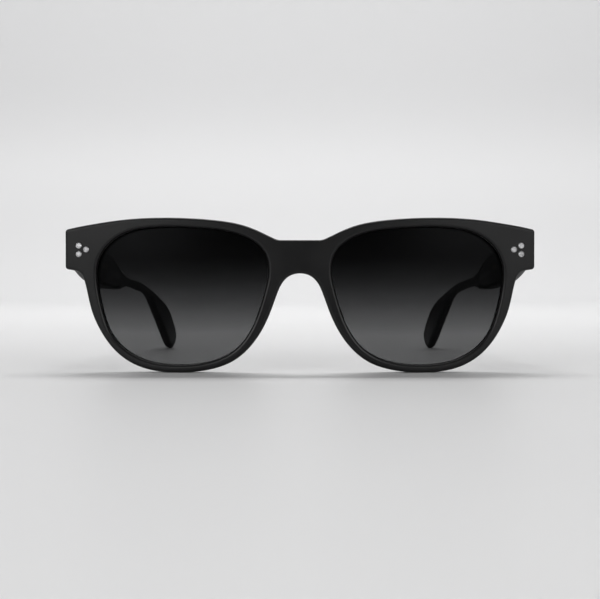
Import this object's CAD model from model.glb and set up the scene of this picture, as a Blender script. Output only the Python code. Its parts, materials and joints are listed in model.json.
"""Looks of the smart glasses: materials, floor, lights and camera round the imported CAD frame."""
import json
import math

import bpy
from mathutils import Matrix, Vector


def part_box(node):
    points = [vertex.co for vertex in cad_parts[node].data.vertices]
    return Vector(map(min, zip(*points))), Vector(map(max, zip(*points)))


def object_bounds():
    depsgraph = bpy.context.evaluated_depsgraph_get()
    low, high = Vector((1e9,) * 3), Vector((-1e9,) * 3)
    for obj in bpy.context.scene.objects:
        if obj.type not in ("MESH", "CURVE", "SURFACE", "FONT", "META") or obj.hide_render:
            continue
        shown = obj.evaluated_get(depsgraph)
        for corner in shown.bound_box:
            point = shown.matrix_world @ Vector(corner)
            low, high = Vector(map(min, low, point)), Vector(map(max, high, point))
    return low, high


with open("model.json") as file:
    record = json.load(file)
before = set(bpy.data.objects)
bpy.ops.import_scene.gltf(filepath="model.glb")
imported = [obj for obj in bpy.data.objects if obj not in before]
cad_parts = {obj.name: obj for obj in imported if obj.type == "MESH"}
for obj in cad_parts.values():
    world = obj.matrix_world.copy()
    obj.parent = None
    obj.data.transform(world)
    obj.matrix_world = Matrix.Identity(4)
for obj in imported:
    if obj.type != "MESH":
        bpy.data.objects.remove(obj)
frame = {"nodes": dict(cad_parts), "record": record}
cad_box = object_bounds()

scene = bpy.context.scene
nodes = frame["nodes"]
front_y = cad_box[0][1]  # the front of the bridge

# ---------------------------------------------------------------- node helpers


class Graph:
    """A material's node tree with short ways to add and join nodes."""

    def __init__(self, name):
        self.material = bpy.data.materials.new(name)
        self.material.use_nodes = True
        self.tree = self.material.node_tree
        self.tree.nodes.clear()
        self.coords = self.add("ShaderNodeTexCoord").outputs["Object"]

    def add(self, kind, **settings):
        node = self.tree.nodes.new(kind)
        for key, value in settings.items():
            setattr(node, key, value)
        return node

    def join(self, value, socket):
        """Set a socket from another socket or from a plain value."""
        if isinstance(value, bpy.types.NodeSocket):
            self.tree.links.new(value, socket)
        else:
            socket.default_value = value

    def noise(self, scale, detail=2.0, roughness=0.5, distortion=0.0, coords=None):
        node = self.add("ShaderNodeTexNoise")
        self.join(coords or self.coords, node.inputs["Vector"])
        self.join(scale, node.inputs["Scale"])
        self.join(detail, node.inputs["Detail"])
        self.join(roughness, node.inputs["Roughness"])
        self.join(distortion, node.inputs["Distortion"])
        return node.outputs["Fac"]

    def spread(self, value, from_low, from_high, to_low, to_high):
        """Map a range of values to another range, held at its ends."""
        node = self.add("ShaderNodeMapRange")
        for number, item in enumerate((value, from_low, from_high, to_low, to_high)):
            self.join(item, node.inputs[number])
        return node.outputs["Result"]

    def ramp(self, value, stops):
        """Colour ramp; stops are (position, grey or colour)."""
        node = self.add("ShaderNodeValToRGB")
        self.join(value, node.inputs["Fac"])
        elements = node.color_ramp.elements
        while len(elements) < len(stops):
            elements.new(0.5)
        for element, (position, tone) in zip(elements, stops):
            element.position = position
            element.color = rgba(tone)
        return node.outputs["Color"]

    def blend(self, share, first, second):
        node = self.add("ShaderNodeMix", data_type="RGBA")
        self.join(share, node.inputs["Factor"])
        for number, tone in ((6, first), (7, second)):  # the RGBA pair of this node's inputs
            self.join(tone if isinstance(tone, bpy.types.NodeSocket) else rgba(tone), node.inputs[number])
        return node.outputs[2]

    def maths(self, operation, *values):
        node = self.add("ShaderNodeMath", operation=operation)
        for number, value in enumerate(values):
            self.join(value, node.inputs[number])
        return node.outputs["Value"]

    def bump(self, height, distance, strength=1.0, normal=None):
        node = self.add("ShaderNodeBump")
        self.join(height, node.inputs["Height"])
        self.join(distance, node.inputs["Distance"])
        self.join(strength, node.inputs["Strength"])
        if normal is not None:
            self.join(normal, node.inputs["Normal"])
        return node.outputs["Normal"]

    def principled(self, **inputs):
        node = self.add("ShaderNodeBsdfPrincipled")
        for key, value in inputs.items():
            self.join(value, node.inputs[key.replace("_", " ")])
        return node.outputs["BSDF"]

    def finish(self, surface):
        output = self.add("ShaderNodeOutputMaterial")
        self.join(surface, output.inputs["Surface"])
        return self.material


def rgba(tone):
    """A grey value or an RGB triple as an opaque RGBA colour."""
    if isinstance(tone, (int, float)):
        return (tone, tone, tone, 1.0)
    return (*tone, 1.0)


def axis_value(graph, axis):
    """One of the object coordinates: "X", "Y" or "Z"."""
    split = graph.add("ShaderNodeSeparateXYZ")
    graph.join(graph.coords, split.inputs["Vector"])
    return split.outputs[axis]


# ---------------------------------------------------------------- materials


def edge_wear(graph, radius):
    """1 on flat faces, less where the surface turns within that radius."""
    bevel = graph.add("ShaderNodeBevel", samples=6)
    graph.join(radius, bevel.inputs["Radius"])
    geometry = graph.add("ShaderNodeNewGeometry")
    dot = graph.add("ShaderNodeVectorMath", operation="DOT_PRODUCT")
    graph.join(bevel.outputs["Normal"], dot.inputs[0])
    graph.join(geometry.outputs["Normal"], dot.inputs[1])
    return dot.outputs["Value"]


SHEEN = 0.06  # the fine grain's glow at grazing angles
WEAR_RADIUS = 0.0006  # how far from an edge handling has polished the plastic


def scaled(tone, factor):
    return [channel * factor for channel in tone]


def matt_plastic(name, tone, roughness, grain=1.0, wear=1.0, specular=0.3):
    """Injection-moulded plastic with a fine spark-eroded grain, faint clouds and polished edges."""
    graph = Graph(name)
    clouds = graph.noise(90.0, 4.0, 0.6)
    fine = graph.noise(5200.0, 2.0, 0.55)
    coarse = graph.noise(1500.0, 3.0, 0.5)
    worn = graph.spread(edge_wear(graph, WEAR_RADIUS), 0.93, 1.0, wear, 0.0)
    scuffs = graph.noise(700.0, 6.0, 0.7, 1.5)
    worn = graph.maths("MULTIPLY", worn, graph.spread(scuffs, 0.35, 0.65, 0.3, 1.0))
    cloud_share = graph.spread(clouds, 0.3, 0.7, 0.0, 1.0)
    colour = graph.blend(cloud_share, scaled(tone, 0.82), scaled(tone, 1.2))
    speck = graph.spread(fine, 0.62, 0.8, 0.0, 0.35)
    colour = graph.blend(speck, colour, scaled(tone, 2.2))
    colour = graph.blend(graph.maths("MULTIPLY", worn, 0.5), colour, scaled(tone, 2.6))
    rough = graph.spread(clouds, 0.3, 0.7, roughness - 0.04, roughness + 0.05)
    rough = graph.maths("SUBTRACT", rough, graph.maths("MULTIPLY", worn, 0.09))
    relief = graph.bump(coarse, 0.000012 * grain, 0.5)
    relief = graph.bump(fine, 0.000008 * grain, 0.6, relief)
    return graph.finish(graph.principled(
        Base_Color=colour, Roughness=rough, Normal=relief, Specular_IOR_Level=specular,
        Sheen_Weight=SHEEN, Sheen_Roughness=0.35))


def brushed_metal(name, tone, roughness, stretch=(60.0, 60.0, 3000.0)):
    """Drawn or turned metal: streaks along one axis, small pits, slight tarnish."""
    graph = Graph(name)
    mapping = graph.add("ShaderNodeMapping")
    graph.join(graph.coords, mapping.inputs["Vector"])
    mapping.inputs["Scale"].default_value = stretch
    streaks = graph.noise(1.0, 5.0, 0.7, coords=mapping.outputs["Vector"])
    tarnish = graph.noise(420.0, 4.0, 0.6)
    pits = graph.noise(6000.0, 2.0, 0.5)
    colour = graph.blend(graph.spread(tarnish, 0.35, 0.7, 0.0, 1.0), tone, scaled(tone, 0.72))
    rough = graph.spread(streaks, 0.3, 0.7, roughness - 0.06, roughness + 0.1)
    relief = graph.bump(streaks, 0.000008, 0.5)
    relief = graph.bump(pits, 0.000005, 0.4, relief)
    return graph.finish(graph.principled(
        Base_Color=colour, Metallic=1.0, Roughness=rough, Normal=relief))


COATED_SHARE = 0.06  # how much of bare plastic's reflection an anti-reflection coat leaves


def tinted_lens(name, low_z, high_z):
    """Graduated grey lens: clear-ish below, nearly opaque above, with two polished faces."""
    graph = Graph(name)
    height = graph.spread(axis_value(graph, "Z"), low_z, high_z, 0.0, 1.0)
    drift = graph.spread(graph.noise(35.0, 2.0, 0.5), 0.3, 0.7, -0.012, 0.012)
    height = graph.maths("ADD", height, drift)
    # one face's share of the light, so the lens passes its square
    tint = graph.ramp(height, [
        (0.0, (0.378, 0.380, 0.382)), (0.23, (0.368, 0.370, 0.372)), (0.31, (0.304, 0.306, 0.308)),
        (0.44, (0.219, 0.220, 0.222)), (0.52, (0.173, 0.174, 0.176)), (0.60, (0.122, 0.123, 0.124)),
        (0.69, (0.078, 0.079, 0.080)), (0.77, (0.048, 0.048, 0.049)), (1.0, (0.028, 0.028, 0.029))])
    through = graph.add("ShaderNodeBsdfTransparent")
    graph.join(tint, through.inputs["Color"])
    gloss = graph.add("ShaderNodeBsdfGlossy")
    smears = graph.noise(55.0, 3.0, 0.5)
    gloss.inputs["Color"].default_value = (0.95, 0.97, 1.0, 1.0)
    graph.join(graph.spread(smears, 0.3, 0.7, 0.26, 0.34), gloss.inputs["Roughness"])
    fresnel = graph.add("ShaderNodeFresnel")
    fresnel.inputs["IOR"].default_value = 1.5
    coated = graph.maths("MULTIPLY", fresnel.outputs["Fac"], COATED_SHARE)
    mixed = graph.add("ShaderNodeMixShader")
    graph.join(coated, mixed.inputs[0])
    graph.join(through.outputs["BSDF"], mixed.inputs[1])
    graph.join(gloss.outputs["BSDF"], mixed.inputs[2])
    return graph.finish(mixed.outputs["Shader"])


def plain_grain(name, tone, roughness, metallic=0.0, scale=900.0, depth=0.00001, spread=0.25,
                coat=0.0):
    """A small part's surface: mottled colour, uneven gloss and a shallow grain."""
    graph = Graph(name)
    clouds = graph.noise(scale, 4.0, 0.6)
    fine = graph.noise(scale * 6.0, 2.0, 0.5)
    dark = scaled(tone, 1.0 - spread)
    colour = graph.blend(graph.spread(clouds, 0.3, 0.7, 0.0, 1.0), dark, tone)
    rough = graph.spread(fine, 0.3, 0.7, roughness * 0.85, roughness * 1.15)
    relief = graph.bump(fine, depth, 0.6)
    return graph.finish(graph.principled(
        Base_Color=colour, Metallic=metallic, Roughness=rough, Normal=relief, Coat_Weight=coat))


def circuit_laminate(name):
    """Green solder mask over copper tracks, with gold pads showing through."""
    graph = Graph(name)
    cells = graph.add("ShaderNodeTexVoronoi", feature="DISTANCE_TO_EDGE", distance="MANHATTAN")
    graph.join(graph.coords, cells.inputs["Vector"])
    cells.inputs["Scale"].default_value = 1100.0
    tracks = graph.spread(cells.outputs["Distance"], 0.04, 0.08, 1.0, 0.0)
    pads = graph.add("ShaderNodeTexVoronoi")
    graph.join(graph.coords, pads.inputs["Vector"])
    pads.inputs["Scale"].default_value = 1400.0
    pad = graph.spread(pads.outputs["Distance"], 0.14, 0.18, 1.0, 0.0)
    colour = graph.blend(tracks, (0.006, 0.06, 0.022), (0.012, 0.12, 0.045))
    colour = graph.blend(pad, colour, (0.75, 0.52, 0.18))
    relief = graph.bump(tracks, 0.00002, 0.7)
    return graph.finish(graph.principled(
        Base_Color=colour, Roughness=graph.spread(pad, 0.0, 1.0, 0.35, 0.25), Metallic=pad,
        Normal=relief, Coat_Weight=0.3))


BLACK = (0.0030, 0.0030, 0.0033)
SOFT_BLACK = (0.0036, 0.0036, 0.0039)
lens_low, lens_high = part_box("lens_right")
looks = {
    "front_plastic": matt_plastic("front_plastic", BLACK, 0.36),
    "temple_plastic": matt_plastic("temple_plastic", BLACK, 0.46, specular=0.16),
    "tip_plastic": matt_plastic("tip_plastic", BLACK, 0.48, specular=0.16),
    "cover_plastic": matt_plastic("cover_plastic", SOFT_BLACK, 0.5, grain=1.6),
    "button_plastic": matt_plastic("button_plastic", (0.006, 0.006, 0.0065), 0.38, wear=1.4),
    "pad_plastic": matt_plastic("pad_plastic", SOFT_BLACK, 0.4, grain=0.5),
    "lens_tint": tinted_lens("lens_tint", lens_low.z, lens_high.z),
    "rivet_steel": brushed_metal("rivet_steel", (0.62, 0.62, 0.63), 0.3),
    "hinge_steel": brushed_metal("hinge_steel", (0.42, 0.42, 0.44), 0.34, (3000.0, 60.0, 60.0)),
    "screw_steel": brushed_metal("screw_steel", (0.55, 0.55, 0.56), 0.3, (60.0, 3000.0, 60.0)),
    "wire_steel": brushed_metal("wire_steel", (0.5, 0.5, 0.5), 0.35),
    "grille_metal": brushed_metal("grille_metal", (0.52, 0.53, 0.54), 0.42, (60.0, 60.0, 2400.0)),
    "board_laminate": circuit_laminate("board_laminate"),
    "chip_plastic": plain_grain("chip_plastic", (0.02, 0.02, 0.022), 0.5),
    "battery_foil": plain_grain("battery_foil", (0.66, 0.67, 0.7), 0.32, 1.0, 500.0, 0.00003),
    "speaker_can": plain_grain("speaker_can", (0.42, 0.42, 0.44), 0.34, 1.0),
    "microphone_can": plain_grain("microphone_can", (0.66, 0.58, 0.38), 0.3, 1.0),
    "contact_gold": plain_grain("contact_gold", (0.83, 0.6, 0.25), 0.22, 1.0, 1600.0, 0.000004),
    "light_pipe": plain_grain(
        "light_pipe", (0.72, 0.75, 0.78), 0.25, 0.0, 700.0, 0.000004, 0.1, 0.6),
    "switch_plastic": plain_grain("switch_plastic", (0.12, 0.12, 0.13), 0.45),
}

slot_of = {part["node"]: part["material_slot"] for part in frame["record"]["subparts"]}
for node_name, node in nodes.items():
    if not node.material_slots:
        node.data.materials.append(None)
    for slot in node.material_slots:
        slot.link = "OBJECT"
        slot.material = looks[slot_of[node_name]]

# ---------------------------------------------------------------- floor and backdrop


def stage_sweep():
    """Pale floor that turns up into a wall far behind."""
    front, back, half_wide, tall, bend = -1.0, 1.35, 1.5, 1.6, 0.3
    bend_steps = 12
    rows = [(front, 0.0), (-0.6, 0.0), (0.0, 0.0), (back - bend, 0.0)]
    for step in range(1, bend_steps + 1):
        angle = math.radians(90.0 * step / bend_steps)
        rows.append((back - bend + bend * math.sin(angle), bend - bend * math.cos(angle)))
    rows.append((back, tall))
    verts = []
    for y, z in rows:
        verts += [(-half_wide, y, z), (half_wide, y, z)]
    faces = [(2 * i, 2 * i + 1, 2 * i + 3, 2 * i + 2) for i in range(len(rows) - 1)]
    mesh = bpy.data.meshes.new("stage_sweep")
    mesh.from_pydata(verts, [], faces)
    for polygon in mesh.polygons:
        polygon.use_smooth = True
    sweep = bpy.data.objects.new("stage_sweep", mesh)
    scene.collection.objects.link(sweep)
    graph = Graph("stage_plaster")
    clouds = graph.noise(6.0, 3.0, 0.5)
    near = graph.blend(clouds, (0.655, 0.655, 0.66), (0.69, 0.69, 0.69))
    far = graph.spread(axis_value(graph, "Y"), 0.0, 1.2, 0.0, 1.0)
    colour = graph.blend(far, near, (0.86, 0.86, 0.865))
    mesh.materials.append(graph.finish(graph.principled(Base_Color=colour, Roughness=0.45)))


stage_sweep()

# ---------------------------------------------------------------- lights


def area_light(name, place, aim, size, energy):
    data = bpy.data.lights.new(name, "AREA")
    data.shape = "RECTANGLE"
    data.size, data.size_y = size
    data.energy = energy
    light = bpy.data.objects.new(name, data)
    light.location = place
    light.rotation_euler = (Vector(aim) - Vector(place)).to_track_quat("-Z", "Y").to_euler()
    scene.collection.objects.link(light)


# name, place, aim, size and power
LIGHTS = [
    ("key", (0.0, 0.42, 0.9), (0.0, -0.05, 0.0), (0.6, 0.3), 4.1),
    ("wall_wash", (0.0, 0.5, 1.3), (0.0, 1.35, 0.3), (2.4, 0.5), 14.5),
    ("left_panel", (-0.40, -0.56, 0.23), (0.0, -0.06, 0.03), (0.46, 0.16), 1.5),
    ("right_panel", (0.40, -0.56, 0.23), (0.0, -0.06, 0.03), (0.46, 0.16), 1.25),
]
for light_settings in LIGHTS:
    area_light(*light_settings)


def studio_world():
    """Dim round the horizon and bright overhead for lighting; pale where a camera looks at it."""
    world = bpy.data.worlds.new("studio")
    world.use_nodes = True
    tree = world.node_tree
    tree.nodes.clear()
    coords = tree.nodes.new("ShaderNodeTexCoord")
    split = tree.nodes.new("ShaderNodeSeparateXYZ")
    tree.links.new(coords.outputs["Generated"], split.inputs["Vector"])
    ramp = tree.nodes.new("ShaderNodeValToRGB")
    stops = [(0.0, 0.05), (0.12, 0.06), (0.20, 0.35), (0.30, 0.8), (1.0, 1.0)]
    elements = ramp.color_ramp.elements
    while len(elements) < len(stops):
        elements.new(0.5)
    for element, (position, tone) in zip(elements, stops):
        element.position = position
        element.color = rgba(tone)
    tree.links.new(split.outputs["Z"], ramp.inputs["Fac"])
    lighting = tree.nodes.new("ShaderNodeBackground")
    lighting.inputs["Strength"].default_value = 0.25
    tree.links.new(ramp.outputs["Color"], lighting.inputs["Color"])
    backdrop = tree.nodes.new("ShaderNodeBackground")
    backdrop.inputs["Color"].default_value = (0.74, 0.74, 0.745, 1.0)
    path = tree.nodes.new("ShaderNodeLightPath")
    mixed = tree.nodes.new("ShaderNodeMixShader")
    tree.links.new(path.outputs["Is Camera Ray"], mixed.inputs[0])
    tree.links.new(lighting.outputs["Background"], mixed.inputs[1])
    tree.links.new(backdrop.outputs["Background"], mixed.inputs[2])
    output = tree.nodes.new("ShaderNodeOutputWorld")
    tree.links.new(mixed.outputs["Shader"], output.inputs["Surface"])
    return world


scene.world = studio_world()
scene.view_settings.view_transform = "Standard"

# ---------------------------------------------------------------- camera

CAMERA_DISTANCE = 0.400  # from the front of the bridge, in metres
CAMERA_HEIGHT = 0.0287
PITCH_DOWN = 0.93  # degrees
FOCAL_LENGTH = 79.8  # millimetres, on a 36 mm sensor
camera_data = bpy.data.cameras.new("camera")
camera_data.sensor_width = 36.0
camera_data.sensor_fit = "HORIZONTAL"
camera_data.lens = FOCAL_LENGTH
camera_data.clip_start = 0.01
camera = bpy.data.objects.new("camera", camera_data)
camera.location = (0.0, front_y - CAMERA_DISTANCE, CAMERA_HEIGHT)
camera.rotation_euler = (math.radians(90.0 - PITCH_DOWN), 0.0, 0.0)
scene.collection.objects.link(camera)
scene.camera = camera
